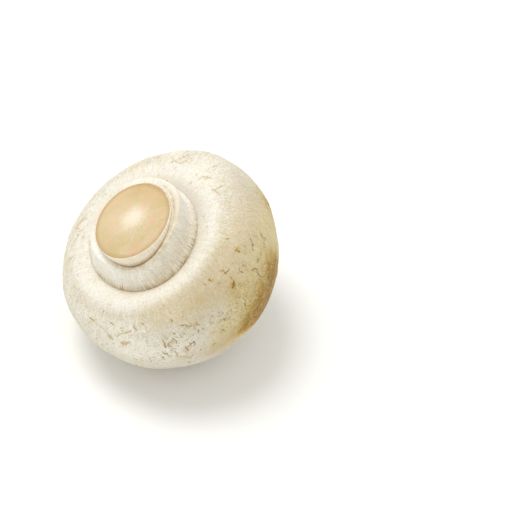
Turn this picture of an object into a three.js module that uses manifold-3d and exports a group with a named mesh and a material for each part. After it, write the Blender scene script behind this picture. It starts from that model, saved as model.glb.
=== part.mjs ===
// A closed button mushroom with its stem trimmed short, lying on its crown so that
// the cut end of the stem looks up and to the left. Millimetres, +Z up.
// It comes apart as a kitchen knife would find it: the cap, the veil that runs from
// the cap's rolled margin up to the stem, and the stem itself.

import * as THREE from 'three';
import { mergeVertices } from 'three/addons/utils/BufferGeometryUtils.js';
import Module from 'manifold-3d';

const wasm = await Module();
wasm.setup();

// Driving dimensions. Heights are measured along the mushroom's own axis,
// from the widest ring of the cap towards the cut end of the stem.
const segments = 60;          // steps round the axis
const gap = 0.3;              // clear space between neighbouring pieces

const capRadius = 26.3;       // widest ring of the cap
const capCrown = 24.9;        // from the widest ring down to the crown
const crestRadius = 17.8;     // highest circle of the rolled margin
const crestHeight = 11.0;
const creaseRadius = 13.9;    // where the margin turns in under the veil
const creaseHeight = 9.1;
const grooveRadius = 21.6;    // shallow hollow outside the margin
const grooveDepth = 0.6;
const grooveWidth = 2.5;

const veilSeat = 6.0;         // floor of the recess that the veil grows from
const veilWall = 0.9;         // thickness of the veil at its lip
const lipHeight = 14.95;      // mean height of the veil's lip on the stem
const lipSlope = 0.165;       // rise of the lip per millimetre towards lipTurn
const lipTurn = 58;           // degrees round the axis where the lip stands highest

const stemRadius = 9.7;
const stemSeat = 0;           // how far in the stem reaches, at the widest ring
const cutHeight = 16.8;       // edge of the cut end
const cutCrown = 0.35;        // the cut end swells this much at its centre
const cutBevel = 0.35;

const lean = 28.5;            // degrees between the stem and the upright
const patchDepth = 1.1;       // how far the crown is pressed flat where it rests

// Lobes that keep the cap from being a perfect round: count, share of the radius, turn.
const lobes = [
  { count: 2, share: 0.006, turn: 34 },
  { count: 3, share: 0.005, turn: 28 },
  { count: 5, share: 0.003, turn: 10 },
];

const degrees = Math.PI / 180;

// Points on part of an ellipse in the profile plane: x is the radius, y the height.
function arc(centreX, centreY, radiusX, radiusY, from, to, steps) {
  const points = [];
  for (let i = 0; i <= steps; i += 1) {
    const angle = (from + ((to - from) * i) / steps) * degrees;
    const x = centreX + radiusX * Math.cos(angle);
    points.push(new THREE.Vector2(Math.max(x, 0), centreY + radiusY * Math.sin(angle)));
  }
  return points;
}

// A solid of revolution about +Z from a profile that runs up its outside.
function turned(profile) {
  const geometry = new THREE.LatheGeometry(profile, segments);
  geometry.rotateX(90 * degrees);
  return geometry;
}

// Moves every vertex: change(point, radius, angle) edits the point in place.
function reshape(geometry, change) {
  const position = geometry.getAttribute('position');
  const point = new THREE.Vector3();
  for (let i = 0; i < position.count; i += 1) {
    point.fromBufferAttribute(position, i);
    change(point, Math.hypot(point.x, point.y), Math.atan2(point.y, point.x));
    position.setXYZ(i, point.x, point.y, point.z);
  }
  return geometry;
}

// The closed manifold-3d solid of a geometry, with the collapsed triangles at its poles left out.
function solidOf(geometry) {
  const bare = geometry.clone();
  bare.deleteAttribute('normal');
  bare.deleteAttribute('uv');
  const merged = mergeVertices(bare, 1e-4);
  const corners = merged.getIndex().array;
  const kept = [];
  for (let i = 0; i < corners.length; i += 3) {
    const [a, b, c] = [corners[i], corners[i + 1], corners[i + 2]];
    if (a !== b && b !== c && c !== a) kept.push(a, b, c);
  }
  return new wasm.Manifold(new wasm.Mesh({
    numProp: 3,
    vertProperties: Float32Array.from(merged.getAttribute('position').array),
    triVerts: Uint32Array.from(kept),
  }));
}

function geometryOf(solid) {
  const { vertProperties, triVerts } = solid.getMesh();
  const geometry = new THREE.BufferGeometry();
  geometry.setAttribute('position', new THREE.BufferAttribute(vertProperties, 3));
  geometry.setIndex(new THREE.BufferAttribute(triVerts, 1));
  geometry.computeVertexNormals();
  return geometry;
}

function flesh(color, roughness) {
  return new THREE.MeshStandardMaterial({ color, roughness, metalness: 0 });
}

// The group leans the stem over and lifts the pressed crown onto the surface.
function restingGroup() {
  const [sine, cosine] = [Math.sin(lean * degrees), Math.cos(lean * degrees)];
  const reach = Math.hypot(capRadius * sine, capCrown * cosine);
  const height = reach - patchDepth;
  const aside = ((capRadius ** 2 - capCrown ** 2) * sine * cosine) / reach;
  const group = new THREE.Group();
  group.rotation.y = -lean * degrees;
  group.position.set((aside * height) / reach, 0, height);
  group.updateMatrixWorld(true);
  return group;
}

function capGeometry(group) {
  const recess = creaseRadius;
  const socket = stemRadius + gap;
  const profile = [
    ...arc(0, 0, capRadius, capCrown, -90, 0, 15),
    ...arc(crestRadius, 0, capRadius - crestRadius, crestHeight, 7, 90, 11),
    ...arc(crestRadius, creaseHeight, crestRadius - creaseRadius, crestHeight - creaseHeight, 112, 180, 4),
    new THREE.Vector2(recess, veilSeat),
    new THREE.Vector2(socket, veilSeat),
    new THREE.Vector2(socket, stemSeat),
    new THREE.Vector2(0, stemSeat),
  ];
  const body = reshape(turned(profile), (point, radius, angle) => {
    if (radius <= creaseRadius && point.z > 0) return;
    const open = THREE.MathUtils.smoothstep(radius, creaseRadius, capRadius);
    let swell = 0;
    for (const lobe of lobes) {
      swell += lobe.share * Math.cos(lobe.count * (angle - lobe.turn * degrees));
    }
    point.x *= 1 + swell * open;
    point.y *= 1 + swell * open;
    if (point.z > 0) {
      point.z -= grooveDepth * Math.exp(-(((radius - grooveRadius) / grooveWidth) ** 2));
    }
  });
  // The crown is cut level where it rests.
  const slab = new THREE.BoxGeometry(4 * capRadius, 4 * capRadius, capRadius);
  slab.translate(0, 0, -capRadius / 2);
  slab.applyMatrix4(group.matrixWorld.clone().invert());
  return geometryOf(solidOf(body).subtract(solidOf(slab)));
}

function veilGeometry() {
  const inner = stemRadius + gap;
  const outer = creaseRadius - gap;
  const foot = veilSeat + gap;
  const lip = inner + veilWall;
  const profile = [
    new THREE.Vector2(inner, foot),
    new THREE.Vector2(outer, foot),
    new THREE.Vector2(outer, creaseHeight - gap),
    new THREE.Vector2((outer * 2 + lip) / 3 + 0.15, creaseHeight + (lipHeight - creaseHeight) * 0.28),
    new THREE.Vector2((outer + lip * 2) / 3 + 0.1, creaseHeight + (lipHeight - creaseHeight) * 0.62),
    new THREE.Vector2(lip, lipHeight - veilWall / 2),
    new THREE.Vector2(lip - veilWall / 3, lipHeight),
    new THREE.Vector2(inner, lipHeight - veilWall / 4),
    new THREE.Vector2(inner, foot),
  ];
  return reshape(turned(profile), (point, radius, angle) => {
    const up = THREE.MathUtils.smoothstep(point.z, creaseHeight, lipHeight);
    point.z += up * lipSlope * radius * Math.cos(angle - lipTurn * degrees);
  });
}

function stemGeometry() {
  const profile = [
    new THREE.Vector2(0, stemSeat + gap),
    new THREE.Vector2(stemRadius, stemSeat + gap),
    new THREE.Vector2(stemRadius, creaseHeight),
    new THREE.Vector2(stemRadius, cutHeight - cutBevel),
    new THREE.Vector2(stemRadius - cutBevel, cutHeight),
    new THREE.Vector2(stemRadius * 0.6, cutHeight + cutCrown * 0.8),
    new THREE.Vector2(0, cutHeight + cutCrown),
  ];
  return turned(profile);
}

function piece(name, geometry, material) {
  const mesh = new THREE.Mesh(geometry, material);
  mesh.name = name;
  return mesh;
}

const mushroom = restingGroup();
mushroom.add(
  piece('cap', capGeometry(mushroom), flesh(0xeee6d2, 0.62)),
  piece('veil', veilGeometry(), flesh(0xe6dcc4, 0.7)),
  piece('stem', stemGeometry(), flesh(0xdcc69a, 0.45)),
);

const model = new THREE.Group();
model.add(mushroom);

export default model;
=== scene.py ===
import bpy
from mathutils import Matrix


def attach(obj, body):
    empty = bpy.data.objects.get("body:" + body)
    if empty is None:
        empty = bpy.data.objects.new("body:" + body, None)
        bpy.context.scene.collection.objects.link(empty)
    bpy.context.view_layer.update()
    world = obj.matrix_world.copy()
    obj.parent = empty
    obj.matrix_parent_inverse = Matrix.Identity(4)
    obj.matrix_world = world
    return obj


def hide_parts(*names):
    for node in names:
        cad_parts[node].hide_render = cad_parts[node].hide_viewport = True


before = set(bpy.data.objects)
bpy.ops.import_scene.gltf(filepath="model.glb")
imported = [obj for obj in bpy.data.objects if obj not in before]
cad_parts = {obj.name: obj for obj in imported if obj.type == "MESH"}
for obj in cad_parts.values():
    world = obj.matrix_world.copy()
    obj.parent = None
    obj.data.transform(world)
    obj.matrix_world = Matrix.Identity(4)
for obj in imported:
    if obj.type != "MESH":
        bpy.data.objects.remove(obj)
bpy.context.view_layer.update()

import math
import random

import bmesh
import bpy
import numpy as np
from mathutils import Matrix, Vector, noise
from mathutils.bvhtree import BVHTree

mm = 0.001
scene = bpy.context.scene
scene.view_settings.view_transform = "Standard"


# One output socket. Arithmetic on it adds Math nodes to its tree.
class Wire:
    def __init__(self, tree, socket):
        self.tree = tree
        self.socket = socket

    def math(self, operation, *values):
        node = self.tree.nodes.new("ShaderNodeMath")
        node.operation = operation
        for slot, value in zip(node.inputs, values):
            plug(self.tree, value, slot)
        return Wire(self.tree, node.outputs[0])

    def __add__(self, other):
        return self.math("ADD", self, other)

    def __sub__(self, other):
        return self.math("SUBTRACT", self, other)

    def __rsub__(self, other):
        return self.math("SUBTRACT", other, self)

    def __mul__(self, other):
        return self.math("MULTIPLY", self, other)

    def __truediv__(self, other):
        return self.math("DIVIDE", self, other)

    def __pow__(self, other):
        return self.math("POWER", self, other)

    def __abs__(self):
        return self.math("ABSOLUTE", self)

    __radd__ = __add__
    __rmul__ = __mul__


def plug(tree, value, slot):
    if isinstance(value, Wire):
        tree.links.new(value.socket, slot)
    else:
        slot.default_value = value


# A material being put together. node() adds any node: its type, its settings, then its inputs.
class Finish:
    def __init__(self, name):
        self.material = bpy.data.materials.new(name)
        self.material.use_nodes = True
        self.tree = self.material.node_tree
        self.tree.nodes.clear()

    def node(self, kind, settings=None, inputs=None, output=0):
        node = self.tree.nodes.new(kind)
        for key, value in (settings or {}).items():
            setattr(node, key, value)
        for key, value in (inputs or {}).items():
            plug(self.tree, value, node.inputs[key])
        return Wire(self.tree, node.outputs[output]) if len(node.outputs) else None

    def noise(self, vector, scale, detail=2.0, rough=0.5, warp=0.0):
        inputs = {"Vector": vector, "Scale": scale, "Detail": detail, "Roughness": rough, "Distortion": warp}
        return self.node("ShaderNodeTexNoise", None, inputs, "Fac")

    def step(self, value, low, high, start=0.0, end=1.0):
        inputs = {"Value": value, "From Min": low, "From Max": high, "To Min": start, "To Max": end}
        return self.node("ShaderNodeMapRange", {"interpolation_type": "SMOOTHSTEP"}, inputs, "Result")

    # first where the factor is 0, second where it is 1
    def mix(self, factor, first, second):
        return self.node("ShaderNodeMix", {"data_type": "RGBA"}, {0: factor, 6: first, 7: second}, 2)

    # soft patches of a colour, strewn by noise
    def blotches(self, skin, point, scale, detail, low, high, most, colour):
        return self.mix(self.step(self.noise(point, scale, detail), low, high, 0.0, most), skin, colour)

    def attribute(self, name):
        return self.node("ShaderNodeAttribute", {"attribute_name": name}, None, "Fac")

    def split(self, vector):
        return [self.node("ShaderNodeSeparateXYZ", None, {0: vector}, axis) for axis in range(3)]

    def join(self, x, y, z):
        return self.node("ShaderNodeCombineXYZ", None, {0: x, 1: y, 2: z})

    # noise drawn out into lines that run away from an axis, about count of them to a radian
    def rays(self, x, y, away, count, along, detail=2.0, rough=0.6):
        return self.noise(self.join(x / away * count, y / away * count, along), 1.0, detail, rough)

    # Object coordinates in the mushroom's own frame: millimetres, Z along the stem
    def grown(self):
        point = self.node("ShaderNodeTexCoord", None, None, "Object")
        inputs = {"Vector": point, "Location": centre * mm, "Rotation": (0, -lean, 0), "Scale": (mm, mm, mm)}
        return self.node("ShaderNodeMapping", {"vector_type": "TEXTURE"}, inputs)

    def bump(self, height, distance):
        inputs = {"Height": height, "Distance": distance * mm, "Strength": 1.0}
        return self.node("ShaderNodeBump", None, inputs)

    def close(self, inputs):
        shader = self.node("ShaderNodeBsdfPrincipled", {"subsurface_method": "RANDOM_WALK"}, inputs)
        self.node("ShaderNodeOutputMaterial", None, {"Surface": shader})
        return self.material

    # flesh that lets light a little way in, by the values of its piece
    def flesh(self, values, colour, roughness, height):
        return self.close({
            "Base Color": colour,
            "Roughness": roughness,
            "Normal": self.bump(height, values["bump"]),
            "Specular IOR Level": values["shine"],
            "Subsurface Weight": values["depth"],
            "Subsurface Radius": values["depthTints"],
            "Subsurface Scale": values["depthScale"] * mm,
        })


# A screen colour, 0 to 255 a channel, as the linear colour that a socket takes
def tint(red, green, blue):
    linear = [(part / 255 / 12.92) if part < 10.4 else ((part / 255 + 0.055) / 1.055) ** 2.4
              for part in (red, green, blue)]
    return (*linear, 1.0)


def tints(colours):
    return {name: tint(*colour) for name, colour in colours.items()}


def arc(centreX, centreZ, radiusX, radiusZ, start, end, steps):
    angles = [math.radians(start + (end - start) * i / steps) for i in range(steps + 1)]
    return [(max(centreX + radiusX * math.cos(a), 0), centreZ + radiusZ * math.sin(a)) for a in angles]


def line(start, end, steps):
    return [tuple(a + (b - a) * i / steps for a, b in zip(start, end)) for i in range(steps + 1)]


# A smooth line through a few (radius, height) points
def curve(points, steps):
    knots = np.array(points)
    length = np.concatenate([[0], np.cumsum(np.linalg.norm(np.diff(knots, axis=0), axis=1))])
    spots = np.linspace(0, length[-1], steps + 1)
    slopes = np.gradient(knots, length, axis=0)
    made = []
    for spot in spots:
        i = min(np.searchsorted(length, spot, side="right") - 1, len(knots) - 2)
        span = length[i + 1] - length[i]
        t = (spot - length[i]) / span
        a, b, m, n = knots[i], knots[i + 1], slopes[i] * span, slopes[i + 1] * span
        made.append(tuple((2 * t ** 3 - 3 * t ** 2 + 1) * a + (t ** 3 - 2 * t ** 2 + t) * m
                          + (3 * t ** 2 - 2 * t ** 3) * b + (t ** 3 - t ** 2) * n))
    return made


# A solid of revolution about Z from an outline of (radius, height) points, in millimetres.
# It is spun in coarse steps, and each step is then split in four and rounded off.
def spun(outline, steps, closed=False):
    solid = bmesh.new()
    corners = [solid.verts.new((radius, 0, height)) for radius, height in outline]
    edges = [solid.edges.new(pair) for pair in zip(corners, corners[1:])]
    if closed:
        edges.append(solid.edges.new((corners[-1], corners[0])))
    coarse = steps // 4
    bmesh.ops.spin(solid, geom=corners + edges, cent=(0, 0, 0), axis=(0, 0, 1),
                   angle=2 * math.pi, steps=coarse, use_merge=True)
    bmesh.ops.remove_doubles(solid, verts=solid.verts, dist=1e-4)
    rings = [edge for edge in solid.edges if abs(edge.verts[0].co.z - edge.verts[1].co.z) < 1e-6
             and abs(edge.verts[0].co.to_2d().length - edge.verts[1].co.to_2d().length) < 1e-4]
    bmesh.ops.subdivide_edges(solid, edges=rings, cuts=3, use_grid_fill=True)
    many = [face for face in solid.faces if len(face.verts) > 4]
    bmesh.ops.triangulate(solid, faces=many)
    span = 2 * math.pi / coarse
    for vertex in solid.verts:
        off = math.atan2(vertex.co.y, vertex.co.x) % span - span / 2
        swell = math.cos(off) / math.cos(span / 2)
        vertex.co.x *= swell
        vertex.co.y *= swell
    bmesh.ops.recalc_face_normals(solid, faces=solid.faces)
    for face in solid.faces:
        face.smooth = True
    return solid


def meshOf(solid, name):
    mesh = bpy.data.meshes.new(name)
    solid.to_mesh(mesh)
    solid.free()
    return mesh


def read(mesh, what="co"):
    source = mesh.vertices if what == "co" else mesh.vertex_normals
    flat = np.empty(len(mesh.vertices) * 3, dtype=np.float32)
    source.foreach_get("co" if what == "co" else "vector", flat)
    return flat.reshape(-1, 3).astype(float)


def write(mesh, points):
    mesh.vertices.foreach_set("co", points.astype(np.float32).ravel())
    mesh.update()


def keep(mesh, name, values):
    layer = mesh.attributes.new(name, "FLOAT", "POINT")
    layer.data.foreach_set("value", values.astype(np.float32))


def smooth(values, low, high):
    share = np.clip((values - low) / (high - low), 0, 1)
    return share * share * (3 - 2 * share)


# Smooth noise from about -1 to 1 at each point, with lumps about size across
def lumps(points, size, seed, octaves=1):
    shift = Vector((seed * 7.31, seed * 3.17, seed * 5.73))
    if octaves == 1:
        return np.array([noise.noise(Vector(p) / size + shift) for p in points])
    return np.array([noise.fractal(Vector(p) / size + shift, 0.8, 2.1, octaves) for p in points])


# Noise in fine lines that run along the skin away from the axis, about count of them to a radian
def fibres(turn, along, count, length, seed):
    ring = np.stack([np.cos(turn) * count, np.sin(turn) * count, along / length], 1)
    return lumps(ring, 1.0, seed, 2)


# 1 at that many degrees round the axis, falling to 0 over width degrees
def around(turn, degrees, width):
    off = np.abs((np.degrees(turn) - degrees + 180) % 360 - 180)
    return 1 - smooth(off, 0, width)


# A value given at a few degrees round the axis, eased from one to the next
def eased(turn, given):
    degrees, values = zip(*given)
    offs = range(-16, 17, 4)
    return sum(np.interp(np.degrees(turn) + off, degrees, values, period=360) for off in offs) / len(offs)


# How the mushroom lies, and the cap's own values. Sizes are in millimetres, heights along its own axis.
capValues = {
    "radius": 26.3,         # widest ring
    "crown": 24.9,          # from the widest ring down to the crown
    "crestRadius": 17.8,    # highest circle of the rolled margin
    "crestHeight": 11.0,
    "creaseRadius": 13.9,   # where the margin turns in under the veil
    "creaseHeight": 9.1,
    "creaseBand": (0.65, 0.85, -85, 130),   # its brown and painted shade: width, how strong, at which degrees, over how many
    "recess": 6.0,          # floor of the hollow under the veil
    "socket": 10.0,         # radius of the hole that the stem sits in
    "foldDrift": (-0.39, 0.35, 0.122),   # how the fold under the veil moves over, and tips
    # how far it is drawn out or in, at degrees round
    "foldPulls": [(-180, 0.05), (-150, -0.35), (-120, -0.35), (-95, -0.4), (-75, -0.4), (-50, -0.75),
                  (-30, -0.75), (-15, -0.75), (0, -0.95), (15, -1.2), (30, -1.3), (75, -0.6), (120, 0)],
    "groove": (21.6, 2.5),   # hollow outside the margin: radius, width, and its depth at degrees round
    "grooveDepths": [(-180, 0.35), (-150, 0.6), (-120, 0.8), (-90, 1.1), (-60, 1.15), (-35, 1.0), (-10, 0.6),
                     (20, 0.35), (60, 0.25), (130, 0.25)],
    "lobes": [(2, 0.006, 34), (3, 0.005, 28), (5, 0.003, 10)],   # how many, how much, turn in degrees
    "lean": 28.5,           # degrees between the stem and the upright
    "pressed": 1.1,         # how far the crown is flattened where it lies
    "lumps": [(0.24, 9.0, 1), (0.10, 3.6, 2), (0.045, 1.4, 3)],   # height, size, seed
    # height everywhere, more on the margin, how many to a radian, length, seed
    "fibres": [(0.015, 0.05, 34, 5.0, 4), (0.0, 0.04, 62, 3.0, 5)],
    "outlineSteps": (112, 62, 20),   # from the crown out, up the margin, in to the crease
    "steps": 440,
    # what is strewn over the skin that the camera doesn't see
    "strewn": {
        "seed": 7,
        "marks": 130,
        "kinds": ["crack", "crack", "flake", "scratch", "speck", "speck", "patch"],
        "highest": 0.3,       # where -1 is the crown and 0 the widest ring
        "turned": 0.12,       # how far the skin may face the camera: 0 is edge on, 1 is full
        "bend": 0.9,          # between the two steps of a mark, in radians
        "step": (0.4, 1.4),   # the length of each, shortest and longest
        "dryEvery": 8,        # a dry, creamy patch goes with every so many marks
        "brownEvery": 40,     # and a browned one
        "patchSize": (3, 6),
        "scurf": 0.45,
        "creamShadeAndLight": 0.5,
        "stain": 0.5,
    },
    "shine": 0.35,
    "depth": 0.2,                      # how much light goes into the flesh
    "depthTints": (1.0, 0.72, 0.45),   # how far its red, green and blue go, as shares
    "depthScale": 1.4,                 # of this many millimetres
    "bump": 0.11,
    "colours": {
        "skin": (231, 228, 218),
        "skinDull": (227, 223, 208),
        "creamAndShade": (223, 202, 126),       # creamy where the cream field is above 0, partly painted shade
        "mottle": (209, 196, 164),
        "fibre": (204, 189, 158),
        "hairPale": (237, 235, 227),
        "hairDark": (196, 180, 144),
        "crest": (241, 238, 231),       # top of the rolled margin, whiter as a painted highlight
        "shoulderTanAndShade": (202, 187, 160),    # just outside it: tan, with painted shade
        # tan and painted shade in the hollow outside the margin
        "hollow": (202, 184, 152),
        # painted shade on the far rim and in the far fold
        "farRimShade": (208, 202, 174),
        "farFoldShade": (214, 204, 196),
        "paintedShade": (186, 170, 142),        # painted shade, where capPatches has shade
        # painted light, where the cream field is below 0
        "paintedLight": (248, 245, 232),
        "fleck": (187, 175, 142),
        "speck": (192, 180, 148),
        # olive brown of the crease, with painted shade on its near side
        "creaseBrownAndShade": (150, 128, 82),
        "browned": (189, 151, 46),
        "brownest": (136, 90, 3),
        "freckle": (112, 80, 22),
        "dryRound": (206, 192, 140),    # round the fine cracks
        "dryOlive": (116, 106, 56),
        "dryTan": (168, 142, 78),
        "markRound": (208, 190, 136),
        "markOlive": (108, 92, 46),
        "markOchre": (172, 126, 62),
    },
    # faint blotches: noise scale and detail, where they start and are full, how strong, colour
    "broadBlotches": [(0.45, 2.0, 0.5, 0.7, 0.5, (229, 211, 202)),
                      (0.38, 2.0, 0.5, 0.7, 0.5, (216, 218, 188))],
    "fineBlotches": [(1.3, 1.0, 0.55, 0.7, 0.35, (232, 208, 196)),
                     (1.1, 1.0, 0.55, 0.7, 0.35, (214, 219, 184))],
}

lean = math.radians(capValues["lean"])
reach = math.hypot(capValues["radius"] * math.sin(lean), capValues["crown"] * math.cos(lean))
centreHeight = reach - capValues["pressed"]
aside = (capValues["radius"] ** 2 - capValues["crown"] ** 2) * math.sin(lean) * math.cos(lean) / reach
centre = Vector((aside * centreHeight / reach, 0, centreHeight))
placing = Matrix.Translation(centre * mm) @ Matrix.Rotation(-lean, 4, "Y") @ Matrix.Scale(mm, 4)


# The fold where the margin meets the veil lies off the axis, and is deeper on its near side
def foldOver(points, share):
    moveX, moveY, tip = capValues["foldDrift"]
    turn = np.arctan2(points[:, 1], points[:, 0])
    pull = eased(turn, capValues["foldPulls"])
    points[:, 2] += tip * points[:, 1] * share
    points[:, 0] += (moveX + pull * np.cos(turn)) * share
    points[:, 1] += (moveY + pull * np.sin(turn)) * share


# The crown gives where it rests: nothing is left under the surface
def pressFlat(points):
    world = np.array(placing.to_3x3())
    up = world[2] / mm
    height = points @ up + centre.z
    lifted = (height + np.sqrt(height ** 2 + 0.02)) / 2
    points += np.outer(lifted - height, up)


def finished(mesh, name, node, material):
    mesh.transform(placing)
    mesh.update()
    piece = bpy.data.objects.new(name, mesh)
    mesh.materials.append(material)
    scene.collection.objects.link(piece)
    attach(piece, "root")
    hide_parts(node)
    print(name, "made,", sum(len(face.vertices) - 2 for face in mesh.polygons), "triangles")


view = {
    "turn": -19.1,        # degrees round the mushroom; 0 looks along +Y
    "height": 48.0,       # degrees above the surface
    "lens": 120.0,
    "sensor": 36.0,
    "distance": 395.8,    # millimetres, as are the next two
    "aside": 20.4,        # the mushroom lies this far left of the middle of the frame
    "above": 0.2,         # and this far under it
    "pixels": 510,        # a side of the frame
}


# The way out from the mushroom at some degrees round it and above the surface
def wayOut(turn, height):
    turn, height = math.radians(turn), math.radians(height)
    return Vector((math.sin(turn) * math.cos(height), -math.cos(turn) * math.cos(height), math.sin(height)))


def makeCamera():
    turn = math.radians(view["turn"])
    back = wayOut(view["turn"], view["height"])
    right = Vector((math.cos(turn), math.sin(turn), 0))
    up = back.cross(right)
    data = bpy.data.cameras.new("camera")
    data.lens = view["lens"]
    data.sensor_width = view["sensor"]
    data.clip_start = 0.01
    data.clip_end = 20
    camera = bpy.data.objects.new("camera", data)
    place = centre + right * view["aside"] + up * view["above"] + back * view["distance"]
    camera.matrix_world = Matrix.Translation(place * mm) @ Matrix((right, up, back)).transposed().to_4x4()
    scene.collection.objects.link(camera)
    scene.camera = camera
    return camera


camera = makeCamera()
print("camera placed")


# The straight line from the camera through a place in its frame
def sight(x, y):
    focal = view["lens"] / view["sensor"] * view["pixels"]
    half = view["pixels"] / 2
    way = camera.matrix_world.to_3x3() @ Vector(((x - half) / focal, (half - y) / focal, -1))
    return camera.matrix_world.translation, way.normalized()


# The skin as something that can be hit, in the mushroom's own frame
class Skin:
    def __init__(self, mesh):
        corners = [vertex.co.copy() for vertex in mesh.vertices]
        self.tree = BVHTree.FromPolygons(corners, [tuple(face.vertices) for face in mesh.polygons])
        self.home = placing.inverted()

    def seen(self, x, y):
        start, way = sight(x, y)
        start = self.home @ start
        way = (self.home.to_3x3() @ way).normalized()
        return self.tree.ray_cast(start, way)[0]

    def beyond(self, way):
        return self.tree.ray_cast(way * 80, -way)[:2]

    def nearest(self, point):
        return self.tree.find_nearest(point)[0]


# Marks on the skin by kind, each a chain of places in the camera's frame
capMarks = {
    "crack": [
        ((111.5, 322.5), (114, 325)), ((133.5, 326.5), (136.5, 329.5)),
        ((173, 338), (175.5, 340), (177, 343)), ((169.5, 345.5), (171.8, 346.7)),
        ((162.5, 351.5), (164.5, 353.5), (166.5, 353), (167.9, 354.5)), ((162.2, 356.8), (164.2, 359.6)),
        ((175, 351.5), (177, 353), (177.6, 355)), ((189.3, 357.6), (191.5, 356), (193, 354)),
        ((190.5, 343.6), (192.5, 343)), ((193.7, 341), (195.5, 343), (194.4, 344.6)),
        ((180, 325.6), (184.5, 325.4), (190.5, 326.4)), ((196.3, 322.8), (198.3, 325), (199.8, 324.6)),
        ((220.5, 332), (224, 329.5)),
        ((260.5, 233), (262.3, 236.5), (263.5, 238), (265.5, 238), (266.5, 239.5)),
        ((250.5, 238.8), (252, 241.5), (253, 244.5)), ((252.4, 246.5), (252.4, 248.5), (253.5, 250)),
        ((271.3, 258), (271.8, 261)), ((256, 271.5), (258, 274.5), (260, 276), (262.4, 277)),
        ((262.4, 277), (264.5, 275), (266.5, 273.5), (268.3, 273)),
        ((268.2, 281), (267.2, 284), (268, 286.4)), ((268, 285.5), (265.5, 287.2), (263.2, 289.4)),
        ((243, 298.6), (245.4, 301)), ((255.6, 303), (254.4, 306.5)),
        ((242, 324), (244.5, 322), (246, 321)), ((78, 234.3), (76.8, 236)),
    ],
    "flake": [
        ((90.5, 318), (92, 319.5), (94, 321)), ((163.4, 340), (164.4, 343.5), (165.6, 347)),
        ((185.4, 346.4), (186.6, 348.8), (188.4, 349.8)), ((252.6, 243), (253, 245)),
        ((237.6, 247.6), (236, 250), (239.5, 251.6)), ((258.2, 259.3), (257, 262.5)),
        ((223.5, 270), (226, 273), (229, 269.7)), ((239.3, 269), (240.8, 271), (242.6, 272.6)),
        ((251.4, 270.8), (252.5, 269.5), (254.5, 268.5), (257, 269)), ((209.5, 279.5), (212, 281)),
        ((234.2, 281), (232.8, 283.5), (233.4, 286), (232.4, 288)), ((233.6, 283.6), (234.2, 286)),
        ((247, 305.2), (248.6, 304.4)),
    ],
    "scratch": [
        ((117.5, 333.8), (124, 334), (127.5, 332), (131, 331)), ((120, 343.5), (124, 342)),
        ((168, 344), (170, 341.5), (172, 340.5)), ((152.5, 357.4), (156, 358)),
        ((176.5, 356.3), (179.5, 355.6), (184, 355.2), (187, 356.2), (189.3, 357.6)),
        ((186.4, 346.8), (188.5, 345.8), (191, 345)), ((194, 328.5), (195.5, 329.5)),
        ((211.5, 316), (214, 317)), ((263, 242.5), (265, 244.5), (264, 246.5), (266, 247.5)),
        ((244.4, 246), (246, 249)), ((260.4, 252), (261.5, 252.3)), ((260, 254.7), (261.6, 254.9)),
        ((252.4, 297.2), (253.7, 296)), ((237, 297), (241, 297.4)),
        ((85, 216.5), (82, 219.5), (79.5, 223.5), (77.6, 225)),
        ((83.5, 229.2), (81, 230.5), (79.3, 231.2)), ((75.6, 238), (73.7, 240), (72.3, 241.6)),
        ((156, 156.6), (158.4, 156.4)), ((180, 163.5), (182.5, 162.8), (184, 161.5), (186.5, 161)),
        ((182.6, 157.6), (184.6, 157.4)), ((199, 179), (203, 176.6), (211, 178)),
        ((212, 189), (216, 191), (219.5, 193.5)), ((213, 190.4), (222, 186)),
    ],
    "faint": [
        ((96, 322.5), (101, 326), (105, 330.5), (109, 335.5)), ((264, 240.6), (265.5, 241.2)),
        ((88, 212.5), (85, 216.5)), ((80.8, 213.5), (79, 216.3)), ((83.8, 208.6), (84.8, 209.6)),
        ((94.5, 196.5), (91.6, 198.6)), ((96.6, 199.2), (99, 197.5)),
        ((102.2, 196.2), (104, 194.6), (106.5, 193.8)), ((92, 204.3), (93.6, 204.7)),
        ((69.8, 246.6), (69.4, 249.2)), ((74.8, 254.5), (73.8, 257.5), (72.5, 261)),
        ((69.6, 256), (69.4, 260)), ((68.2, 261.5), (67.8, 264)),
        ((67.6, 270.5), (67.8, 275), (67.4, 279), (67.8, 283)), ((78, 273.8), (77.6, 275.6)),
        ((78.4, 281.4), (77.8, 282.6)), ((76.4, 286), (75.8, 287.4)), ((70.6, 294.6), (72.2, 297.8)),
        ((148.8, 158.8), (147.4, 160.4), (146.4, 162)),
        ((172, 157.5), (173.5, 160), (176.5, 161.5), (180, 163.5)), ((180.6, 159.2), (181.6, 159)),
        ((192.2, 159), (192, 161.4)), ((173.6, 168.6), (176, 167.4)), ((162, 168.6), (163.6, 168)),
        ((158.7, 173.6), (158.4, 177)), ((226, 200), (230, 203)),
    ],
    "speck": [
        ((142, 323.5), (143, 324.5)), ((101, 345), (102, 345.6)), ((96, 338), (96.6, 339)),
        ((171.4, 342), (173, 343.4)), ((174, 333), (174.7, 334)), ((168, 355.4), (169.4, 356.5)),
        ((200.5, 348.8), (201, 350)), ((188, 361.4), (190, 362.4)), ((141, 360.5), (142, 361)),
        ((183.2, 333.6), (184.9, 333.8)), ((171, 320), (172, 321.3)), ((198.4, 330.4), (198.8, 332)),
        ((224, 318.5), (225, 319.6)), ((213, 345), (215, 343)), ((227, 239), (228.4, 238.2)),
        ((244.8, 253), (245.5, 254)), ((243, 265.3), (243.4, 265.9)), ((245.8, 264.8), (246, 265.6)),
        ((220, 270.6), (221, 271.4)), ((204.6, 284), (205.4, 285)), ((231, 277.4), (232, 278.6)),
        ((254, 293), (255.6, 294)), ((244.4, 303.2), (244.9, 306)),
    ],
    "patch": [
        ((108.5, 336.5), (111.5, 338.5)), ((122, 345), (128, 342.5)),
        ((264, 291), (263.2, 294), (262.5, 297)), ((251, 308), (250.3, 313), (251.3, 318)),
    ],
}
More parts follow.
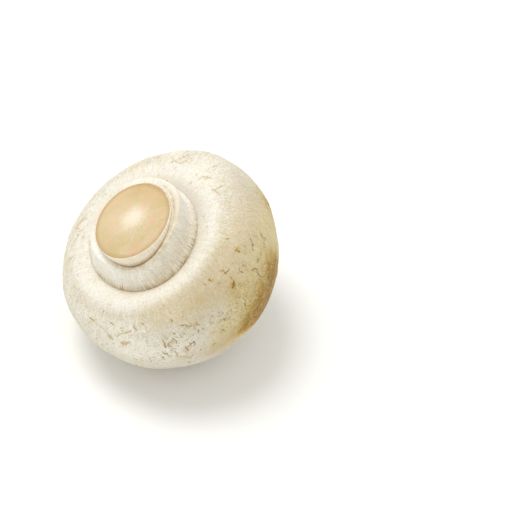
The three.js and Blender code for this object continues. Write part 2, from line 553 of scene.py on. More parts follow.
markKinds = {
    # half width, groove, raised edge in mm; tone from 0 olive to 1 ochre; strength of colour
    "crack": (0.14, 0.05, 0.04, 0.1, 0.8),
    "flake": (0.2, 0.04, 0.10, 0.4, 0.9),
    "scratch": (0.13, 0.03, 0.03, 0.4, 0.6),
    "faint": (0.13, 0.02, 0.02, 0.3, 0.42),
    "speck": (0.17, 0.03, 0.02, 0.1, 0.75),
    "patch": (0.38, 0.02, 0.05, 0.9, 0.55),
}
# Soft patches of the skin: where in the frame, how wide in mm, how much
capPatches = {
    "lift": [   # broad swellings and dents, how much in mm
        ((201, 155), 4.0, 0.3), ((69, 302), 4.5, 0.3), ((264, 295), 6.0, 0.35), ((254, 313), 5.0, 0.25),
        ((154, 161), 4.0, -0.3), ((112, 349), 4.5, -0.3), ((238, 174), 4.0, -0.35),
        ((238, 334), 4.0, -0.35), ((70, 250), 4.0, -0.3),
    ],
    "stain": [   # browned
        ((267, 296), 5.0, 1.2), ((258, 311), 4.4, 1.05), ((251, 313), 1.6, 0.4), ((274, 278), 4.8, 1.3),
        ((256, 283), 3.6, 0.1), ((248, 298), 3.6, 0.06), ((263, 304), 3.5, 0.4), ((246, 325), 3.6, 0.6),
        ((271, 264), 4.5, 0.5), ((264, 283), 4.0, 0.1), ((240, 290), 7.0, 0.15), ((202, 297), 2.2, 0.2),
        ((193, 304), 1.6, 0.12), ((236, 293), 2.6, 0.14), ((228, 284), 2.0, 0.1),
        ((228, 342), 5.0, 0.2), ((212, 352), 4.0, 0.12), ((110, 337.5), 0.9, 0.34),
        ((124, 344), 1.1, 0.28), ((94, 320), 1.0, 0.3), ((166.5, 343), 0.8, 0.28),
        ((171.5, 321), 0.8, 0.25), ((237, 249.5), 0.9, 0.4), ((187, 349), 1.2, 0.22),
        ((193.3, 325), 1.1, 0.3), ((184, 356), 1.6, 0.2), ((210.5, 280), 0.9, 0.25),
        ((233.4, 284.6), 0.6, 0.75), ((262.5, 245), 1.3, 0.22),
    ],
    "scurf": [   # dry and finely cracked
        ((180, 348), 4.5, 0.55), ((168, 342), 3.0, 0.3), ((121, 338), 4.5, 0.2),
        ((106, 330), 3.5, 0.15), ((90, 318), 3.0, 0.5), ((222, 326), 4.0, 0.6), ((195, 325), 4.0, 0.4),
        ((229, 272), 4.5, 0.5), ((258, 243), 4.5, 0.4), ((262, 272), 4.5, 0.7), ((245, 308), 5.0, 0.8),
        ((76, 230), 4.0, 0.5), ((205, 180), 3.0, 0.25), ((180, 158), 3.0, 0.4), ((150, 360), 5.0, 0.5),
    ],
    "creamShadeAndLight": [   # creamy rather than white, partly painted shade; below 0 whiter, as painted light
        ((273, 254), 10.5, 1.25), ((250, 300), 11.0, 0.8), ((262, 215), 9.0, 0.25),
        ((230, 338), 7.0, 0.7), ((150, 320), 6.0, 0.5), ((180, 312), 6.0, 0.5), ((212, 282), 6.0, 0.4),
        ((228, 260), 7.0, 0.45), ((68, 260), 7.0, 0.2), ((150, 165), 8.0, 0.2), ((137, 167), 3.0, 0.3),
        ((188, 154), 4.0, 0.15), ((97, 195), 2.0, 0.3), ((83, 222), 3.0, 0.3), ((66, 281), 3.5, 0.2),
        ((76, 293), 4.0, 0.2), ((95, 336), 3.5, -0.4), ((128, 352), 4.0, -0.2), ((155, 353), 4.5, -0.3),
        ((205, 166), 5.0, -0.5), ((220, 187), 4.5, -0.35), ((199, 272), 2.2, -0.2),
        ((68, 290), 4.0, -0.35), ((84, 303), 3.5, -0.3), ((97, 312), 3.0, -0.2),
        ((178, 153), 4.5, -0.8), ((221, 312), 2.2, -0.3), ((243, 288), 1.8, -0.2),
        ((204, 323), 2.2, -0.25), ((120, 342), 5.0, -0.65), ((142, 350), 5.0, -0.5),
        ((174, 341), 4.2, -0.68), ((192, 338), 5.0, -0.2), ((206, 336), 3.5, -0.1),
        ((182, 351), 4.0, -0.15), ((213, 309), 3.0, -0.3), ((70, 280), 3.5, -0.3),
    ],
    "shade": [   # painted shade
        ((201, 297), 3.4, 0.5), ((214, 285), 2.8, 0.6), ((189, 310), 3.0, 0.4), ((158, 324), 3.5, 0.4),
        ((229, 340), 4.5, 0.8), ((210, 352), 3.5, 0.45), ((229, 260), 4.5, 0.5),
        ((242, 183), 4.5, 0.45), ((254, 195), 4.0, 0.35), ((267, 281), 3.5, 0.65),
        ((102, 300), 3.0, 0.15), ((111, 336), 1.6, 0.3), ((86, 236), 2.4, 0.15),
    ],
}


# Distance to the chain, which side of it, how far along it from 0 to 1, and how far past an end
def chainDistance(points, normals, chain):
    total = sum((b - a).length for a, b in zip(chain, chain[1:]))
    best = np.full(len(points), 1e9)
    side = np.zeros(len(points))
    share = np.zeros(len(points))
    past = np.zeros(len(points))
    done = 0.0
    for i, (a, b) in enumerate(zip(chain, chain[1:])):
        way = np.array(b - a)
        length = np.linalg.norm(way)
        off = points - np.array(a)
        whole = off @ way / length ** 2
        part = np.clip(whole, 0, 1)
        over = np.maximum(-whole if i == 0 else 0, whole - 1 if i == len(chain) - 2 else 0)
        gapTo = off - part[:, None] * way
        distance = np.linalg.norm(gapTo, axis=1)
        across = np.einsum("ij,ij->i", np.cross(normals, way / length), gapTo)
        closer = distance < best
        best = np.where(closer, distance, best)
        side = np.where(closer, across, side)
        share = np.where(closer, (done + part * length) / total, share)
        past = np.where(closer, np.maximum(over, 0) * length, past)
        done += length
    return best, side, share, past


# Cuts one mark into the lift of the skin, and notes how far each point lies to its side.
# That is kept in half widths, so the line stays sharp between the points.
def strike(points, normals, chain, kind, fields):
    halfWidth, groove, edge, tone, strength = markKinds[kind]
    middle = np.array(sum(chain, Vector()) / len(chain))
    span = max((b - a).length for a in chain for b in chain) + 2.5
    near = np.nonzero(np.linalg.norm(points - middle, axis=1) < span)[0]
    if not len(near):
        return
    distance, side, share, past = chainDistance(points[near], normals[near], chain)
    # the groove is no finer than the points can show, and thins towards its ends
    width = max(halfWidth, 0.28) * (0.45 + 0.55 * np.sin(np.pi * np.clip(share, 0.02, 0.98)))
    core = np.exp(-(distance / width) ** 2)
    curl = np.exp(-((side - 1.7 * width) / (1.1 * width)) ** 2) * np.exp(-(distance / (3 * width)) ** 4)
    fields["lift"][near] += edge * curl - groove * core
    closer = distance < fields["away"][near]
    fields["away"][near] = np.where(closer, distance, fields["away"][near])
    fields["side"][near] = np.where(closer, side / halfWidth, fields["side"][near])
    shown = strength * (1 - smooth(distance, 0.25, 0.7)) * (1 - smooth(past, 0.05, 0.4))
    fields["mark"][near] = np.where(closer, shown, fields["mark"][near])
    fields["tone"][near] = np.where(closer, tone, fields["tone"][near])


# 1 at a place on the skin, falling away round it
def softPatch(points, spot, size):
    return np.exp(-(np.linalg.norm(points - np.array(spot), axis=1) / size) ** 2)


# Adds soft round patches to one of the fields, each seen at a place in the frame
def dab(points, skinShape, patches, field):
    for (x, y), size, strength in patches:
        spot = skinShape.seen(x, y)
        if spot:
            field += strength * softPatch(points, spot, size)
        else:
            print("patch off the skin", x, y)


def cutMarks(points, normals, skinShape, fields):
    for kind, chains in capMarks.items():
        for places in chains:
            chain = [skinShape.seen(x, y) for x, y in places]
            if all(chain):
                strike(points, normals, chain, kind, fields)
            else:
                print("mark off the skin", kind, places)


def strewMarks(points, normals, skinShape, fields):
    s = capValues["strewn"]
    chance = random.Random(s["seed"])
    eye = placing.inverted() @ camera.matrix_world.translation
    made = 0
    while made < s["marks"]:
        height = chance.uniform(-1, s["highest"])
        angle = chance.uniform(0, 2 * math.pi)
        flat = math.sqrt(1 - height ** 2)
        way = Vector((flat * math.cos(angle), flat * math.sin(angle), height))
        spot, normal = skinShape.beyond(way)
        if normal.dot((eye - spot).normalized()) > s["turned"]:
            continue
        heading = normal.orthogonal().normalized()
        heading.rotate(Matrix.Rotation(chance.uniform(0, 2 * math.pi), 3, normal))
        chain = [spot]
        for i in range(2):
            heading.rotate(Matrix.Rotation(chance.uniform(-s["bend"], s["bend"]), 3, normal))
            chain.append(skinShape.nearest(chain[-1] + heading * chance.uniform(*s["step"])))
        strike(points, normals, chain, chance.choice(s["kinds"]), fields)
        made += 1
        if made % s["dryEvery"] == 0:
            patch = softPatch(points, spot, chance.uniform(*s["patchSize"]))
            fields["scurf"] += s["scurf"] * patch
            fields["creamShadeAndLight"] += s["creamShadeAndLight"] * patch
            if made % s["brownEvery"] == 0:
                fields["stain"] += s["stain"] * patch


def makeCap():
    s = capValues
    domeSteps, marginSteps, creaseSteps = s["outlineSteps"]
    outline = arc(0, 0, s["radius"], s["crown"], -90, 0, domeSteps)
    crest, height = s["crestRadius"], s["crestHeight"]
    outline += arc(crest, 0, s["radius"] - crest, height, 0, 90, marginSteps)[1:]
    outline += arc(crest, s["creaseHeight"], crest - s["creaseRadius"], height - s["creaseHeight"],
                   90, 180, creaseSteps)[1:]
    outline += line((s["creaseRadius"], s["creaseHeight"]), (s["creaseRadius"], s["recess"]), 4)[1:]
    outline += [(s["socket"], s["recess"]), (s["socket"], 0), (0, 0)]
    mesh = meshOf(spun(outline, s["steps"]), "cap_skin")
    points = read(mesh)
    radius = np.hypot(points[:, 0], points[:, 1])
    turn = np.arctan2(points[:, 1], points[:, 0])
    above = points[:, 2] > 0
    inside = (radius < s["creaseRadius"] + 0.01) & (points[:, 2] > -10)
    skin = np.where(inside, 0, 1)
    margin = np.where(above, smooth(radius, s["creaseRadius"], s["creaseRadius"] + 2.5), 1) * skin

    swell = sum(share * np.cos(count * (turn - math.radians(at))) for count, share, at in s["lobes"])
    outer = smooth(radius, s["creaseRadius"], s["radius"]) * skin
    points[:, :2] *= (1 + swell * outer)[:, None]
    at, width = s["groove"]
    depth = eased(turn, s["grooveDepths"])
    points[:, 2] -= np.where(above, depth * np.exp(-((radius - at) / width) ** 2), 0) * skin
    off = np.hypot(radius - s["creaseRadius"], points[:, 2] - s["creaseHeight"])
    width, strength, at, over = s["creaseBand"]
    creaseBrownAndShade = strength * np.exp(-(off / width) ** 2) * around(turn, at, over)
    fold = (1 - smooth(radius, s["creaseRadius"], s["crestRadius"])) * smooth(points[:, 2], 5.5, 8.5)
    foldOver(points, fold * above)

    # slow lumps, then the drawn-in fibres of the margin
    write(mesh, points)
    normals = read(mesh, "normal")
    lift = sum(height * lumps(points, size, seed) for height, size, seed in s["lumps"])
    rim = np.where(above, 1 - smooth(radius, 18, 25), 0)
    along = radius - points[:, 2]
    for height, more, count, length, seed in s["fibres"]:
        lift += (height + more * rim) * fibres(turn, along, count, length, seed)
    lift *= margin

    # side and away start well clear of every mark
    fields = {"lift": lift, "tone": np.full(len(points), 0.5)}
    fields["side"] = np.full(len(points), 9.0)
    fields["away"] = np.full(len(points), 9.0)
    kept = ("mark", "stain", "scurf", "creamShadeAndLight", "shade")
    for name in kept:
        fields[name] = np.zeros(len(points))
    skinShape = Skin(mesh)
    cutMarks(points, normals, skinShape, fields)
    strewMarks(points, normals, skinShape, fields)
    for name, patches in capPatches.items():
        dab(points, skinShape, patches, fields[name])
    points += normals * (fields["lift"] * skin)[:, None]
    pressFlat(points)
    write(mesh, points)
    for name in kept:
        keep(mesh, name, np.clip(fields[name], -1, 1) * skin)
    keep(mesh, "creaseBrownAndShade", creaseBrownAndShade)
    keep(mesh, "tone", fields["tone"])
    keep(mesh, "side", fields["side"])
    return mesh


def capSkin():
    f = Finish("cap_skin")
    c = tints(capValues["colours"])
    grown = f.grown()
    x, y, z = f.split(grown)
    radius = (x * x + y * y) ** 0.5
    along = radius - z
    margin = f.step(radius - z * 0.9, 4.0, 16.0, 1.0, 0.0)   # 1 at the crease, 0 past the margin
    combed = f.step(z, 0.5, 7.0, 0.35, 1.0)   # the fibres fade out past the margin
    line = f.rays(x, y, radius, 30.0, along * 0.28)
    hair = f.rays(x, y, radius, 46.0, along * 0.36)
    cloud = f.noise(grown, 0.16, 3.0, 0.55, 0.4)
    mottle = f.noise(grown, 0.6, 3.0, 0.6, 0.6)
    grain = f.noise(grown, 2.3, 3.0, 0.7, 0.3)
    speckle = f.noise(grown, 3.4, 2.0, 0.7)
    creamShadeAndLight = f.attribute("creamShadeAndLight")
    skin = f.mix(f.step(cloud, 0.35, 0.68), c["skin"], c["skinDull"])
    for *blotch, colour in capValues["broadBlotches"]:
        skin = f.blotches(skin, grown, *blotch, tint(*colour))
    skin = f.mix(f.step(creamShadeAndLight + (cloud - 0.5) * 0.5, 0.0, 1.0, 0.0, 0.85), skin, c["creamAndShade"])
    skin = f.mix(f.step(mottle, 0.5, 0.8, 0.0, 0.2), skin, c["mottle"])
    skin = f.mix(f.step(line, 0.4, 0.66, 0.0, 0.38) * (0.3 + 0.7 * combed), skin, c["fibre"])
    skin = f.mix(f.step(hair, 0.44, 0.62, 0.0, 0.55) * combed, skin, c["hairPale"])
    skin = f.mix(f.step(hair, 0.34, 0.46, 0.35, 0.0) * combed, skin, c["hairDark"])

    # the roll of the margin is whiter as a painted highlight; outside its top on the near side, and in the
    # hollow, it is tan with painted shade
    near = f.step(y, -8.0, 4.0, 1.0, 0.0)
    right = f.step(x, -6.0, 8.0)
    middle = f.step(abs(x + 3.5), 1.5, 6.5, 2.6, 0.0)
    outside = radius - f.step(0 - y, 8.0, 16.0, 0.0, 0.5)
    crest = f.step(outside, 17.9, 20.5, 1.0, 0.0) * f.step(z, 8.5, 10.0)
    skin = f.mix(crest * (0.45 + 0.15 * near), skin, c["crest"])
    shoulderTanAndShade = f.step(outside, 18.3, 20.6) * f.step(z + right * 2.5 + middle, 8.8, 10.0) * near
    shoulderTanAndShade = shoulderTanAndShade * f.step(x + y, -14.0, 8.0, 1.0, 0.15) * (0.32 + 0.3 * right)
    skin = f.mix(shoulderTanAndShade, skin, c["shoulderTanAndShade"])
    hollow = f.step(z, 1.0, 5.5) * f.step(z, 8.0, 9.6, 1.0, 0.0) * near * right
    skin = f.mix(hollow * 0.5, skin, c["hollow"])
    # painted shade on the far rim, and in the fold on the far side
    skin = f.mix(f.step(z, 3.0, 8.0, 0.34, 0.0) * (1 - near), skin, c["farRimShade"])
    fold = f.step(radius, 13.5, 16.5, 1.0, 0.0) * f.step(z, 4.0, 8.0) * f.step(x + y, 6.0, 14.0)
    skin = f.mix(fold * 0.65, skin, c["farFoldShade"])

    # painted shade and painted light, then the finest colour
    skin = f.mix(f.attribute("shade") * 0.6, skin, c["paintedShade"])
    paintedLightShare = f.step(0 - creamShadeAndLight, 0.0, 0.8, 0.0, 0.8)
    skin = f.mix(paintedLightShare, skin, c["paintedLight"])
    for *blotch, colour in capValues["fineBlotches"]:
        skin = f.blotches(skin, grown, *blotch, tint(*colour))
    fleck = f.step(grain, 0.45, 0.65) * (0.6 - 0.14 * combed) * (1 - crest * 0.6 - paintedLightShare * 0.75)
    skin = f.mix(fleck, skin, c["fleck"])
    speck = f.step(speckle, 0.5, 0.66, 0.0, 0.6) * (1 - crest * 0.5) * (1 + right * near * 0.35)
    skin = f.mix(speck, skin, c["speck"])
    # the crease under the veil is olive brown, with painted shade on its near side
    skin = f.mix(f.attribute("creaseBrownAndShade") * f.step(hair + line, 0.8, 1.2, 0.5, 0.9), skin, c["creaseBrownAndShade"])

    # browned side
    stain = f.attribute("stain") * f.step(f.noise(grown, 0.4, 2.0, 0.6), 0.3, 0.55, 0.72, 1.05)
    torn = f.step(f.noise(grown, 1.1, 4.0, 0.7, 0.8), 0.25, 0.75, 0.65, 1.2)
    broken = stain * (torn + (grain - 0.5) * 1.2)
    skin = f.mix(f.step(broken, 0.0, 0.75, 0.0, 0.92), skin, c["browned"])
    skin = f.mix(f.step(broken, 0.5, 1.2, 0.0, 0.82), skin, c["brownest"])
    freckles = f.step(speckle + (mottle - 0.5) * 0.4, 0.5, 0.6) * f.step(stain, 0.15, 0.8, 0.0, 0.6)
    skin = f.mix(freckles, skin, c["freckle"])

    # fine cracks: short broken lines where the skin is dry
    off = abs(f.noise(grown, 1.15, 2.0, 0.55, 0.5) - 0.5)
    dry = f.noise(grown, 0.9, 1.0, 0.5, 0.5) + f.attribute("scurf") * 0.3
    squiggle = f.step(off, 0.004, 0.03, 1.0, 0.0) * f.step(dry, 0.66, 0.78)
    halo = f.step(off, 0.02, 0.11, 1.0, 0.0) * f.step(dry, 0.6, 0.78)
    skin = f.mix(halo * 0.3, skin, c["dryRound"])
    dark = f.mix(f.step(mottle, 0.4, 0.6), c["dryOlive"], c["dryTan"])
    skin = f.mix(squiggle * 0.7, skin, dark)

    # the marks cut one by one
    marked = f.attribute("mark")
    off = abs(f.attribute("side") + (f.noise(grown, 1.5, 2.0, 0.6) - 0.5) * 5.0)
    mark = f.step(off, 0.1, 1.1, 1.0, 0.0) * f.step(marked, 0.05, 1.0)
    skin = f.mix(f.step(marked, 0.0, 0.9, 0.0, 0.35), skin, c["markRound"])
    skin = f.mix(mark, skin, f.mix(f.attribute("tone"), c["markOlive"], c["markOchre"]))
    height = line * 0.4 * (0.3 + margin) + hair * 0.3
    height = height + grain * 0.9 + mottle * 0.8 + speckle * 0.6 - squiggle * 0.5
    return f.flesh(capValues, skin, f.step(mottle, 0.2, 0.8, 0.5, 0.66), height)


veilValues = {
    "inner": 9.6,          # where it meets the stem
    "outer": 14.05,        # foot, just inside the cap's recess
    "foot": 6.3,
    # its side's heights and radii
    "side": [(8.4, 14.05), (9.5, 13.6), (10.8, 12.9), (12.0, 12.25), (13.2, 11.65), (14.3, 11.15),
             (15.0, 10.9)],
    "lip": 15.3,           # height of the lip before it is drawn up and down
    "lipEdge": 10.0,       # its inner edge, before it is drawn to the stem
    # the lip's height, outer radius and inner radius at degrees round the stem
    "lipHeights": [(-160, 14.8), (-140, 13.5), (-120, 13.0), (-100, 13.6), (-75, 14.7), (-55, 15.5),
                   (-40, 16.1), (-25, 16.5), (-10, 16.7), (30, 16.7), (105, 16.6), (150, 16.3), (180, 15.9)],
    "lipRadii": [(-160, 11.2), (-130, 11.0), (-75, 11.0), (-50, 11.3), (-30, 12.1), (-5, 12.6), (15, 12.5),
                 (32, 11.7), (60, 11.2), (105, 11.2), (180, 11.4)],
    "lipInner": [(-165, 9.3), (-150, 9.4), (-138, 9.65), (-122, 9.98), (-110, 10.05), (-75, 10.24),
                 (-55, 10.25), (-40, 10.2), (0, 10.08), (60, 9.7), (120, 9.36), (180, 9.3)],
    # how deep the gap behind the lip is, as a share of its deepest
    "gapDepths": [(-155, 0), (-140, 0.25), (-115, 0.4), (-75, 0.4), (-60, 0.1), (-45, 0), (180, 0)],
    "furrow": (-12, 66, 0.3),   # the lip is double at these degrees, over that many more, by this depth
    # how far the foot spreads over the fold: out by this share of its radius and up this much, and how
    # much of both there is at degrees round
    "spread": (0.09, 0.9),
    "softness": [(-180, 0.5), (-150, 0.35), (-115, 0.15), (-90, 0.18), (-75, 0.18), (-55, 0.32), (-35, 0.45),
                 (-15, 0.65), (15, 0.7), (65, 0.7), (120, 0.9), (155, 0.7)],
    # over the lip: how far in from its outer edge, how far under its top
    "lipOutline": [(0.05, 0.1), (0.14, 0.0), (0.25, 0.0), (0.34, 0.05), (0.43, 0.08), (0.52, 0.05),
                   (0.62, 0.0), (0.72, 0.03), (0.8, 0.12)],
    "lipDrop": 0.3,        # its inner edge under its top
    "lipLumps": [(0.14, 3.0, 11), (0.04, 11.0, 15)],   # height, how many to a radian, seed
    "lipLevel": (-168, 48, 0.85),   # it's level at these degrees, over that many more, by this share
    "foldHeight": 9.65,
    # height everywhere, more at the foot, how many to a radian, length, seed
    "fibres": [(0.03, 0.05, 26, 6.0, 12), (0.03, 0.03, 50, 4.0, 13)],
    "lumps": (0.10, 3.0, 14),   # height, size, seed
    "steps": 520,
    "shine": 0.3,
    "depth": 0.2,
    "depthTints": (1.0, 0.72, 0.45),
    "depthScale": 1.4,
    "bump": 0.15,
    "roughness": 0.65,
    "colours": {
        "skin": (249, 247, 239),
        "skinDull": (242, 238, 226),
        # painted shade on the veil's near side
        "nearSideShade": (216, 205, 176),
        # painted shade, tan, at the foot by the fold
        "foot": (212, 200, 172),
        "fibre": (198, 185, 157),
        "hair": (247, 245, 238),
        "grain": (208, 197, 171),
        # painted shade on top of the lip
        "lipTopShade": (218, 206, 180),
        "edge": (197, 173, 118),
        "furrow": (176, 146, 92),
        # brown in the gap behind the lip, with painted shade
        "gap": (184, 143, 88),
        # painted shade by the fold on the near side
        "fold": (206, 170, 112),
        "fringe": (155, 127, 71),
    },
}


def makeVeil():
    s = veilValues
    side = curve([(radius, height) for height, radius in s["side"]], 60)
    wide = side[-1][0]
    top = s["lip"]
    edgeHeight = top - s["lipDrop"]
    outline = [(s["inner"], s["foot"]), (s["outer"], s["foot"])] + side
    outline += [(wide - inward, top - under) for inward, under in s["lipOutline"]]
    outline += line((s["lipEdge"], edgeHeight), (s["inner"] + 0.05, top - 1.9), 8)
    mesh = meshOf(spun(outline, s["steps"], closed=True), "veil_skirt")
    points = read(mesh)
    radius = np.hypot(points[:, 0], points[:, 1])
    height = points[:, 2].copy()
    turn = np.arctan2(points[:, 1], points[:, 0])
    circle = np.stack([np.cos(turn), np.sin(turn), turn * 0], 1)
    up = smooth(height, 9.0, edgeHeight)
    outside = (radius > s["inner"] + 0.4) & (height > 8.0)
    onLip = (height > top - 0.31) & (radius > s["lipEdge"] - 0.01)
    at, over, level = s["lipLevel"]
    uneven = 1 - level * around(turn, at, over)
    ragged = sum(swell * lumps(circle * count, 1.0, seed) for swell, count, seed in s["lipLumps"]) * uneven

    # the lip is drawn up and out, more on its far side
    points[:, 2] += up * (eased(turn, s["lipHeights"]) - top + ragged)
    spread = eased(turn, s["lipRadii"]) + 0.1 * lumps(circle * 5.0, 1.0, 16) * uneven - wide
    pull = eased(turn, s["lipInner"]) - s["lipEdge"]
    across = (radius - s["lipEdge"]) / (wide - s["lipEdge"])
    moved = radius + np.where(onLip, spread * across + pull * (1 - across), 0)
    moved += np.where(outside & ~onLip & (radius > wide - 0.01), spread * up ** 2, 0)
    innermost = ~onLip & (radius < s["lipEdge"] + 0.01)
    moved += np.where(innermost, pull * smooth(height, top - 2.0, edgeHeight), 0)

    # the furrow along the lip, and the gap behind it
    at, over, depth = s["furrow"]
    middle = s["lipEdge"] + 0.35 * (wide - s["lipEdge"])
    furrow = onLip * np.exp(-((radius - middle) / 0.11) ** 2) * around(turn, at, over)
    brim = onLip * np.exp(-((radius - s["lipEdge"]) / 0.09) ** 2) * around(turn, at + 10, over + 20)
    points[:, 2] -= depth * furrow
    gap = eased(turn, s["gapDepths"])
    points[:, 2] += np.where(innermost & (height > top - 2), (edgeHeight - height) * (1 - gap), 0)
    # where there is no gap the lip runs level into the stem
    deepest = max(share for degrees, share in s["gapDepths"])
    tight = onLip * smooth(s["lipEdge"] + 0.35 - radius, 0, 0.3) * (1 - gap / deepest)
    points[:, 2] += tight * (top - height)
    points[:, :2] *= (moved / radius)[:, None]

    # the foot spreads over the fold, then fibres run up from it
    foldOver(points, (1 - up) * (radius > s["inner"] + 0.1))
    softness = eased(turn, s["softness"])
    flare = outside * (1 - smooth(height, 8.6, 11.2)) * softness
    points[:, :2] *= (1 + s["spread"][0] * flare)[:, None]
    points[:, 2] += s["spread"][1] * flare
    write(mesh, points)
    normals = read(mesh, "normal")
    low = 1 - smooth(height, 9.0, 12.0)
    calm = 1 - 0.7 * smooth(softness, 0.3, 0.8)
    lift = sum((shallow + more * low * calm) * fibres(turn, height, count, length, seed)
               for shallow, more, count, length, seed in s["fibres"])
    swell, size, seed = s["lumps"]
    lift += swell * lumps(points, size, seed)
    points += normals * (lift * outside * np.where(onLip, 0.3 * uneven, 1))[:, None]
    write(mesh, points)
    outward = np.where(height > top - 1, radius - s["lipEdge"] + np.maximum(edgeHeight - height, 0), 9)
    keep(mesh, "edge", outside * np.exp(-(outward / 1.15) ** 2) * around(turn, -85, 100))
    keep(mesh, "furrow", furrow + 0.7 * brim)
    keep(mesh, "rise", height - s["foldHeight"])
    keep(mesh, "gap", np.where((radius < s["lipEdge"] + 0.02) & (height > 12), 1.0, 0.0))
    return mesh


def veilFibre():
    f = Finish("veil_fibre")
    c = tints(veilValues["colours"])
    grown = f.grown()
    x, y, z = f.split(grown)
    radius = (x * x + y * y) ** 0.5
    line = f.rays(x, y, radius, 30.0, z * 0.2, 2.0, 0.65)
    hair = f.rays(x, y, radius, 56.0, z * 0.5)
    cloud = f.noise(grown, 0.35, 3.0, 0.55)
    grain = f.noise(grown, 2.2, 2.0, 0.6)
    # low is 1 at the foot, 0 a few millimetres up
    rise = f.attribute("rise")
    low = f.step(rise, 0.3, 3.4, 1.0, 0.0)
    far = f.step((x + y) * 0.7, 4.0, 12.0, 0.0, 0.8)
    front = f.step(0 - x * 0.5 - y * 0.87, 5.0, 12.0)
    # fewer dark fibres and less grain on the far and left sides: painted light there
    calm = 1 - 0.3 * far - f.step(0 - x, 6.0, 12.0, 0.0, 0.5)
    skin = f.mix(f.step(cloud, 0.35, 0.65), c["skin"], c["skinDull"])
    # painted shade on the near side, and at the foot
    skin = f.mix(f.step(x * 0.42 - y * 0.91, 8.0, 11.5, 0.0, 0.5), skin, c["nearSideShade"])
    skin = f.mix(low * 0.2, skin, c["foot"])
    skin = f.mix(f.step(line, 0.42, 0.64) * (0.22 + 0.22 * low) * calm, skin, c["fibre"])
    skin = f.mix(f.step(hair, 0.45, 0.65, 0.0, 0.7), skin, c["hair"])
    skin = f.mix(f.step(grain, 0.48, 0.70, 0.0, 0.5) * calm, skin, c["grain"])
    # painted shade on top of the lip, less on its far side
    skin = f.mix(f.step(z, 15.6, 16.4, 0.0, 0.55) * (1 - far * 0.6), skin, c["lipTopShade"])

    # yellowed edges, and the gap behind the lip: brown, with painted shade
    edge = f.attribute("edge") * f.step(f.noise(grown, 0.9, 2.0, 0.6), 0.35, 0.65, 0.4, 1.0)
    skin = f.mix(edge * 0.85, skin, c["edge"])
    beads = f.step(f.noise(grown, 1.6, 2.0), 0.4, 0.6, 0.3, 1.0)
    skin = f.mix(f.attribute("furrow") * beads * 0.65, skin, c["furrow"])
    skin = f.mix(f.attribute("gap") * 0.7, skin, c["gap"])

    # painted shade towards the fold on the near side, and the torn fringe at the fold, palest on the far
    # side
    torn = rise - front * 0.2 + (hair - 0.5) * 3.4 + (line - 0.5) * 4.2
    fringe = f.step(torn, -0.6, 0.8, 1.0, 0.0) * (0.62 - 0.08 * front) * (1 - far)
    fringe = fringe * f.step(f.noise(grown, 0.4, 2.0), 0.35, 0.62, 0.45, 1.05)
    skin = f.mix(f.step(rise, 0.2, 1.6, 0.22, 0.0) * front, skin, c["fold"])
    skin = f.mix(fringe, skin, c["fringe"])
    return f.flesh(veilValues, skin, veilValues["roughness"], line * 0.7 + hair * 0.7 + grain * 0.4)


stemValues = {
    "radius": 9.8,
    "seat": 0.3,            # height of its hidden end
    "off": (0.34, -0.26),   # the cut end's middle lies this far off the axis
    "cut": 16.85,           # height of the cut end's edge
    "pithAndHighlight": (0.95, 0.1),    # where the cut end is palest: the pith, with a painted highlight
    "swell": 0.45,          # the cut end bulges this much
    "bevel": 0.14,
    "lumps": [(0.05, 3.5, 21), (0.015, 1.1, 22)],   # on the cut end: height, size, seed
    "fibres": (0.05, 22, 5.0, 23),   # on its side: height, how many to a radian, length, seed
    "cutRings": 60,
    "steps": 320,
    "shine": 0.45,
    "depth": 0.2,
    "depthTints": (1.0, 0.7, 0.4),
    "depthScale": 2.0,
    "bump": 0.06,
    "colours": {
        "side": (241, 234, 217),
        "sideDull": (232, 220, 196),
        # browner, with painted shade, where the side goes down behind the lip
        "behindLipBrownAndShade": (194, 156, 98),
        "cut": (211, 189, 149),
        "cutDull": (201, 181, 136),
        "mottle": (208, 190, 154),
        "grain": (180, 152, 108),
        "farRight": (201, 169, 115),
        "farLeft": (228, 208, 172),
        "left": (192, 169, 118),
        "round": (234, 221, 196),       # round the pith, part of its painted highlight
        # streaks and middle of the pith, with its painted highlight
        "streakAndHighlight": (236, 222, 192),
        "pithAndHighlight": (238, 227, 206),
        "rim": (172, 135, 84),
    },
    "blotches": [(0.5, 2.0, 0.48, 0.68, 0.8, (214, 178, 142)), (0.42, 2.0, 0.5, 0.7, 0.8, (196, 182, 124))],
}


def makeStem():
    s = stemValues
    flat = s["radius"] - s["bevel"]
    outline = [(0, s["seat"]), (s["radius"] * 0.5, s["seat"])]
    outline += line((s["radius"], s["seat"]), (s["radius"], 12.0), 8)
    outline += line((s["radius"], 12.3), (s["radius"], s["cut"] - s["bevel"]), 24)
    outline += arc(flat, s["cut"] - s["bevel"], s["bevel"], s["bevel"], 0, 90, 6)[1:]
    shares = [1 - i / s["cutRings"] for i in range(1, s["cutRings"] + 1)]
    outline += [(flat * share, s["cut"] + s["swell"] * (1 - share ** 2)) for share in shares]
    mesh = meshOf(spun(outline, s["steps"]), "stem_plug")
    points = read(mesh)
    radius = np.hypot(points[:, 0], points[:, 1])
    height = points[:, 2].copy()
    turn = np.arctan2(points[:, 1], points[:, 0])
    shown = smooth(height, 11.0, 13.0)
    points[:, 0] += s["off"][0] * shown
    points[:, 1] += s["off"][1] * shown
    write(mesh, points)
    normals = read(mesh, "normal")
    face = (radius < flat) & (height > 10)
    side = radius > flat + 0.1
    lift = face * sum(swell * lumps(points, size, seed) for swell, size, seed in s["lumps"])
    swell, count, length, seed = s["fibres"]
    lift += side * swell * fibres(turn, height, count, length, seed)
    points += normals * (lift * shown)[:, None]
    write(mesh, points)
    keep(mesh, "face", face & (height > s["cut"] - 0.01))
    keep(mesh, "middle", np.where(face, radius, 9.0))
    # 1 where the side goes down behind the lip
    keep(mesh, "low", 1 - smooth(height, eased(turn, veilValues["lipHeights"]) - 0.3, s["cut"] - 0.2))
    return mesh


